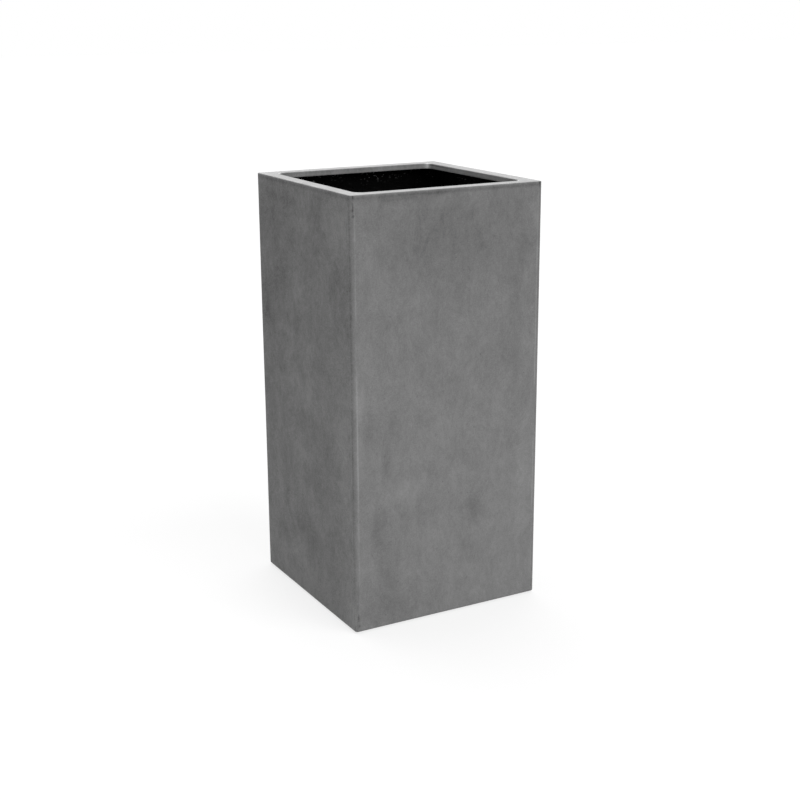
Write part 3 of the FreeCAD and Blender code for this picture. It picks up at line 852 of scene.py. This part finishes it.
# The floor's rings get fewer points towards the drain, and stop short of it.
THINNED_FROM, MOST_THINNED, INNERMOST = 0.1, 4, 0.018
# The mat is flat where the drain's flange lies on it, and its lumps rise over the next stretch.
FLANGE_FLAT, FLANGE_FADE = 0.022, 0.02


def tray_section(inner, floor_level):
    """The tray's section: outside, upstand, cove, floor, drain hole and underside."""
    outer, base, top = TRAY_HIGH.x, TRAY_LOW.z, TRAY_HIGH.z
    section = Section()
    section.add("hidden", square_ring(outer, INNER_RADIUS, base), square_ring(outer, INNER_RADIUS, top))
    section.add("hidden", square_ring(inner + TRAY_BEVEL, TRAY_COVE + TRAY_BEVEL, top))
    for level in np.linspace(top - TRAY_BEVEL, floor_level + TRAY_COVE, COVE_STEPS + 1)[:-1]:
        section.add("shown", square_ring(inner, TRAY_COVE, level))
    for angle in np.radians(np.linspace(0, 90, COVE_STEPS + 1)):
        half = inner - TRAY_COVE * (1 - math.cos(angle))
        level = floor_level + TRAY_COVE * (1 - math.sin(angle))
        section.add("shown", square_ring(half, TRAY_COVE * math.cos(angle) + INNER_RADIUS, level))
    step = 1
    for half in np.arange(inner - TRAY_COVE - MAT_STEP, INNERMOST, -MAT_STEP):
        if half < THINNED_FROM / step and step < MOST_THINNED:
            step *= 2
        section.add("shown", square_ring(half, INNER_RADIUS, floor_level)[::step])
    hole = round_ring(section.rings[-1], DRAIN_HOLE, floor_level)
    section.add("hidden", hole, round_ring(hole, DRAIN_HOLE, base))
    section.add("hidden", square_ring(outer / 2, INNER_RADIUS, base)[::2])
    return section


def floor_tray(material):
    """The glass mat over the floor, turned up the walls with a cove all round, and cut for the drain."""
    inner, floor_level = TRAY_HIGH.x - PLY, TRAY_LOW.z + PLY
    points, faces, zone = tray_section(inner, floor_level).surface()
    item = new_object("floor_mat", points, faces, material, "glass_mat", "floor_laminate")
    from_drain = np.linalg.norm(points[:, :2], axis=1)
    clear = np.clip((from_drain - FLANGE_FLAT) / FLANGE_FADE, 0, 1)
    move_inwards(item, np.where(zone == "shown", clear * mat_lumps(points, MAT_LUMPS), 0.0))

    rise = points[:, 2] - floor_level
    turned_up = abs(points[:, :2]) > inner - TRAY_COVE
    weave = points[:, :2] + np.where(turned_up, np.sign(points[:, :2]) * rise[:, None], 0.0)
    store(item, "weave", np.c_[weave, np.full(len(points), FLOOR_WEAVE)])
    store(item, "spatter", varying("floor_spatter", points, middle=0, swing=0.3, low=0, high=1))
    store(item, "deep_light", np.full(len(points), DEEP_LIGHT_FLOOR))


def dress(nodes, material):
    """Give CAD nodes a finish in all their material slots."""
    for name in nodes:
        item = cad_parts[name]
        item.data.materials.clear()
        item.data.materials.append(material)


# ---------------------------------------------------------------- stage

CAMERA_PLACE = (-1.2439, -2.2682, 1.1057)
CAMERA_YAW, CAMERA_PITCH, CAMERA_ROLL = math.radians(-28.87), math.radians(15.88), math.radians(0.31)
LENS_MM = 62.49
SENSOR_MM = 36.0
# Broad, soft lamps far away: name, direction towards it, how much it lights a surface that faces it, and its
# width in degrees.
LAMPS = (
    ("front_lamp", (0.35, -0.75, 0.75), 0.68, 50),
    ("left_lamp", (-0.85, -0.25, 0.60), 0.03, 60),
    ("top_lamp", (0.05, 0.45, 0.90), 0.72, 60),
)
SKY = 0.40
WHITE = (1, 1, 1, 1)
FLOOR_SIZE = 60.0
FLOOR_BOUNCE = 0.32
FLOOR_GLOW, FLOOR_TONE = 0.74, 0.21


def camera():
    data = bpy.data.cameras.new("camera")
    data.lens = LENS_MM
    data.sensor_width = SENSOR_MM
    item = bpy.data.objects.new("camera", data)
    turn = Matrix.Rotation(CAMERA_YAW, 4, "Z") @ Matrix.Rotation(math.pi / 2 - CAMERA_PITCH, 4, "X")
    item.matrix_world = Matrix.Translation(CAMERA_PLACE) @ turn @ Matrix.Rotation(-CAMERA_ROLL, 4, "Z")
    bpy.context.scene.collection.objects.link(item)
    bpy.context.scene.camera = item


def lamps():
    for name, towards, strength, width in LAMPS:
        data = bpy.data.lights.new(name, "SUN")
        data.energy = strength * math.pi
        data.angle = math.radians(width)
        item = bpy.data.objects.new(name, data)
        item.rotation_mode = "QUATERNION"
        item.rotation_quaternion = Vector(towards).to_track_quat("Z", "Y")
        bpy.context.scene.collection.objects.link(item)


def seen_directly(tree):
    """1 for camera, glossy and transmission rays."""
    path = tree.nodes.new("ShaderNodeLightPath")
    total = path.outputs["Is Camera Ray"]
    for name in ("Is Glossy Ray", "Is Transmission Ray"):
        either = tree.nodes.new("ShaderNodeMath")
        either.operation = "MAXIMUM"
        tree.links.new(total, either.inputs[0])
        tree.links.new(path.outputs[name], either.inputs[1])
        total = either.outputs[0]
    return total


def sky():
    """White where it is seen, and dimmer as a light."""
    world = bpy.data.worlds.new("studio")
    world.use_nodes = True
    tree = world.node_tree
    background = tree.nodes["Background"]
    background.inputs["Color"].default_value = WHITE
    strength = tree.nodes.new("ShaderNodeMapRange")
    strength.inputs["To Min"].default_value = SKY
    strength.inputs["To Max"].default_value = 1.0
    tree.links.new(seen_directly(tree), strength.inputs["Value"])
    tree.links.new(strength.outputs[0], background.inputs["Strength"])
    bpy.context.scene.world = world


def floor_material():
    """White where it is lit and seen, and pale grey for the light that it throws back."""
    g = Graph("studio_floor")
    links = g.tree.links
    lit = g.node("ShaderNodeBsdfDiffuse", Color=(FLOOR_TONE, FLOOR_TONE, FLOOR_TONE, 1))
    glow = g.node("ShaderNodeEmission", Color=WHITE, Strength=FLOOR_GLOW)
    seen = g.tree.nodes.new("ShaderNodeAddShader")
    links.new(lit.outputs[0], seen.inputs[0])
    links.new(glow.outputs[0], seen.inputs[1])
    bounce = g.node("ShaderNodeBsdfDiffuse", Color=(FLOOR_BOUNCE, FLOOR_BOUNCE, FLOOR_BOUNCE, 1))
    choice = g.tree.nodes.new("ShaderNodeMixShader")
    links.new(seen_directly(g.tree), choice.inputs[0])
    links.new(bounce.outputs[0], choice.inputs[1])
    links.new(seen.outputs[0], choice.inputs[2])
    links.new(choice.outputs[0], g.output.inputs["Surface"])
    return g.material


def floor():
    """A pale floor that keeps the planter's shadow."""
    half = FLOOR_SIZE / 2
    mesh = bpy.data.meshes.new("studio_floor")
    corners = [(-half, -half, 0), (half, -half, 0), (half, half, 0), (-half, half, 0)]
    mesh.from_pydata(corners, [], [(0, 1, 2, 3)])
    mesh.materials.append(floor_material())
    item = bpy.data.objects.new("studio_floor", mesh)
    bpy.context.scene.collection.objects.link(item)


# ---------------------------------------------------------------- the planter

camera()
lamps()
sky()
floor()
bpy.context.scene.view_settings.view_transform = "Standard"

planter_skin(stone_resin())
wall_mat = glass_mat("glass_mat", WALL_GLOSS)
for wall in WALLS:
    wall_panel(wall, wall_mat)
for turns, corner in enumerate(CORNERS):
    corner_strip(corner, turns, wall_mat)
floor_tray(glass_mat("glass_mat_floor", FLOOR_GLOSS))
level_mat = glass_mat("glass_mat_level", WALL_GLOSS, laid_flat=True)
dress([f"rim_backing_{wall}" for wall in WALLS], level_mat)
dress([f"rim_core_{wall}" for wall in WALLS] + ["floor_board"], core_board())
plastic = moulded("bush_plastic", tone=0.03, rough=(0.35, 0.5), scale=900.0, depth=0.0001)
dress(["drain_bush"], plastic)
rubber = moulded("black_rubber", tone=0.018, rough=(0.55, 0.75), scale=1400.0, depth=0.00015)
dress(["drain_plug"] + [f"foot_pad_{corner}" for corner in CORNERS], rubber)
